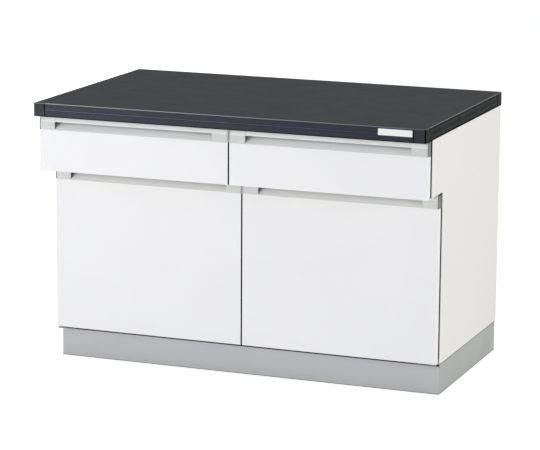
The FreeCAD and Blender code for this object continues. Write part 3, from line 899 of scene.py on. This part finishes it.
def driveScrews(name, places, direction, body, size=1.0):
    runTree(name, screwTree, places, {
        "Head Radius": screwHead["radius"] * size, "Top Radius": screwHead["top"] * size,
        "Head Height": screwHead["height"] * size, "Recess Share": screwHead["recessShare"],
        "Recess Depth": screwHead["recessDepth"] * size, "Facing": direction,
        "Finish": finishes["pivotNickel"]}, body)


def evenly(start, end, count):
    return [start + (end - start) * step / (count - 1) for step in range(count)]


backScrews = {"inset": 0.010, "across": 9, "up": 5}


def fixBackPanel():
    low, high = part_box("back_panel")
    xs = evenly(low.x + backScrews["inset"], high.x - backScrews["inset"], backScrews["across"])
    zs = evenly(low.z + backScrews["inset"], high.z - backScrews["inset"], backScrews["up"])
    places = [(x, high.y, z) for x in xs for z in (zs[0], zs[-1])]
    places += [(x, high.y, z) for x in (xs[0], 0.0, xs[-1]) for z in zs[1:-1]]
    driveScrews("backPanelScrews", places, (0.0, 1.0, 0.0), "carcass")


smallScrews = {  # the node that they hold, and how far in from each end of it they stand
    "pivotPlateScrews": ("pivot_plates_top", (0.044, 0.030)),
    "catchScrews": ("door_catches", (0.010, 0.030)),
}
smallScrewSize = 0.8


def fixFromBelow(name):
    node, insets = smallScrews[name]
    low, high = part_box(node)
    places = [(sign * (high.x - inset), (low.y + high.y) / 2, low.z) for sign in (-1, 1) for inset in insets]
    driveScrews(name, places, (0.0, 0.0, -1.0), "carcass", smallScrewSize)


drawerScrews = {"inset": 0.055, "rows": (0.022, 0.064)}


def fixDrawer(side):
    low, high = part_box("drawer_box_front_" + side)
    xs = low.x + drawerScrews["inset"], high.x - drawerScrews["inset"]
    places = [(x, high.y, low.z + rise) for x in xs for rise in drawerScrews["rows"]]
    driveScrews("drawerFrontScrews_" + side, places, (0.0, 1.0, 0.0), "drawer_" + side)


fixBackPanel()
for name in smallScrews:
    fixFromBelow(name)
for side in ("left", "right"):
    fixDrawer(side)
print("screws driven")


# rolled rims round the shelf-pin holes

holeSleeve = {"ring": 0.0031, "ringSides": 24, "rim": 0.0006, "rimSides": 8, "pitch": 0.032,
              "steps": (-1, 0, 1), "padHalf": 0.006, "padDrop": 0.002}


def buildSleeveTree():  # one rim at each vertex
    tree, given = openTree("shelfHoleSleeves", "Geometry", {
        "Geometry": "Geometry", "Ring Radius": "Float", "Rim Radius": "Float", "Facing": "Vector",
        "Finish": "Material"})
    ring = addNode(tree, "GeometryNodeCurvePrimitiveCircle", {
        "Resolution": holeSleeve["ringSides"], "Radius": given["Ring Radius"]})
    rim = addNode(tree, "GeometryNodeCurvePrimitiveCircle", {
        "Resolution": holeSleeve["rimSides"], "Radius": given["Rim Radius"]})
    sweep = addNode(tree, "GeometryNodeCurveToMesh", {
        "Curve": ring.outputs["Curve"], "Profile Curve": rim.outputs["Curve"]})
    return standShapes(tree, given, vertexPoints(tree, given), sweep.outputs["Mesh"], "Facing")


def lineShelfHoles():
    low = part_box("shelf_left")[0]
    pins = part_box("shelf_pins")
    ys = (pins[0].y + holeSleeve["padHalf"], pins[1].y - holeSleeve["padHalf"])
    zs = [low.z - holeSleeve["padDrop"] + step * holeSleeve["pitch"] for step in holeSleeve["steps"]]
    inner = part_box("bottom_panel")[1].x
    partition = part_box("centre_partition")[1].x
    places = [(x, y, z) for x in (-inner, -partition, partition, inner) for y in ys for z in zs]
    runTree("shelfHoleSleeves", buildSleeveTree(), places, {
        "Ring Radius": holeSleeve["ring"], "Rim Radius": holeSleeve["rim"], "Facing": (1.0, 0.0, 0.0),
        "Finish": finishes["nylonWhite"]}, "carcass")


lineShelfHoles()
print("shelf holes lined")


# studio: pale floor, soft light all round, a soft key in front and soft fills at the right and behind

studio = {"ambient": 0.53, "floor": 0.92, "floorRoughness": 0.9, "floorGlow": 0.50, "floorHalf": 9.0,
          "aim": (0.0, 0.0, 0.4), "white": (1.0, 1.0, 1.0, 1.0)}
studioLamps = {  # the back one stands lower than the worktop, so no glare lies on that
    "frontKey": {"place": (-3.2, -5.4, 1.1), "size": (2.0, 2.0), "power": 143.0},
    "sideFill": {"place": (6.0, -1.5, 1.3), "size": (2.4, 2.4), "power": 133.0},
    "backFill": {"place": (-4.6, 4.6, 0.4), "size": (2.8, 0.7), "power": 90.0},
}


def seenDirectly(tree):  # 1 for what the camera looks at, also by way of a mirror or through glass
    rays = addNode(tree, "ShaderNodeLightPath").outputs
    direct = combine(tree, "MAXIMUM", rays["Is Camera Ray"], rays["Is Glossy Ray"])
    return combine(tree, "MAXIMUM", direct, rays["Is Transmission Ray"])


def makeFloor():
    half = studio["floorHalf"]
    mesh = bpy.data.meshes.new("studioFloor")
    corners = [(-half, -half, 0.0), (half, -half, 0.0), (half, half, 0.0), (-half, half, 0.0)]
    mesh.from_pydata(corners, [], [(0, 1, 2, 3)])
    material = bpy.data.materials.new("studioFloor")
    material.use_nodes = True
    tree = material.node_tree
    feed(tree, tree.nodes["Principled BSDF"], {
        "Base Color": (studio["floor"],) * 3 + (1.0,), "Roughness": studio["floorRoughness"],
        "Specular IOR Level": 0.0, "Emission Color": studio["white"],
        "Emission Strength": product(tree, seenDirectly(tree), studio["floorGlow"])})
    mesh.materials.append(material)
    floor = placeObject("studioFloor", mesh)


def makeWorld():
    world = bpy.data.worlds.new("studioWorld")
    world.use_nodes = True
    bpy.context.scene.world = world
    tree = world.node_tree
    strength = ramp(tree, seenDirectly(tree), 0.0, 1.0, studio["ambient"], 1.0)
    feed(tree, tree.nodes["Background"], {"Color": studio["white"], "Strength": strength})


def hangLamp(name):
    look = studioLamps[name]
    light = bpy.data.lights.new(name, "AREA")
    light.shape = "RECTANGLE"
    light.size, light.size_y = look["size"]
    light.energy = look["power"]
    lamp = placeObject(name, light)
    place = Vector(look["place"])
    lamp.location = place
    lamp.rotation_euler = (Vector(studio["aim"]) - place).to_track_quat("-Z", "Y").to_euler()


makeFloor()
makeWorld()
for name in studioLamps:
    hangLamp(name)

# metres, radians, the focal length in pixels of a picture this wide, and millimetres
viewpoint = {"place": (2.66932, -6.89378, 1.95556), "yaw": 0.36982, "pitch": -0.20585, "roll": 0.00637,
             "focalPixels": 2518.01, "imageWidth": 540.0, "sensor": 36.0}


def makeCamera():
    lens = bpy.data.cameras.new("benchCamera")
    lens.sensor_fit = "HORIZONTAL"
    lens.sensor_width = viewpoint["sensor"]
    lens.lens = viewpoint["sensor"] * viewpoint["focalPixels"] / viewpoint["imageWidth"]
    camera = placeObject("benchCamera", lens)
    turn = Euler((pi / 2 + viewpoint["pitch"], 0.0, viewpoint["yaw"]), "XYZ").to_matrix()
    turn = turn @ Matrix.Rotation(viewpoint["roll"], 3, "Z")
    camera.matrix_world = Matrix.Translation(viewpoint["place"]) @ turn.to_4x4()
    bpy.context.scene.camera = camera


makeCamera()
bpy.context.scene.view_settings.view_transform = "Standard"
print("studio and camera set")
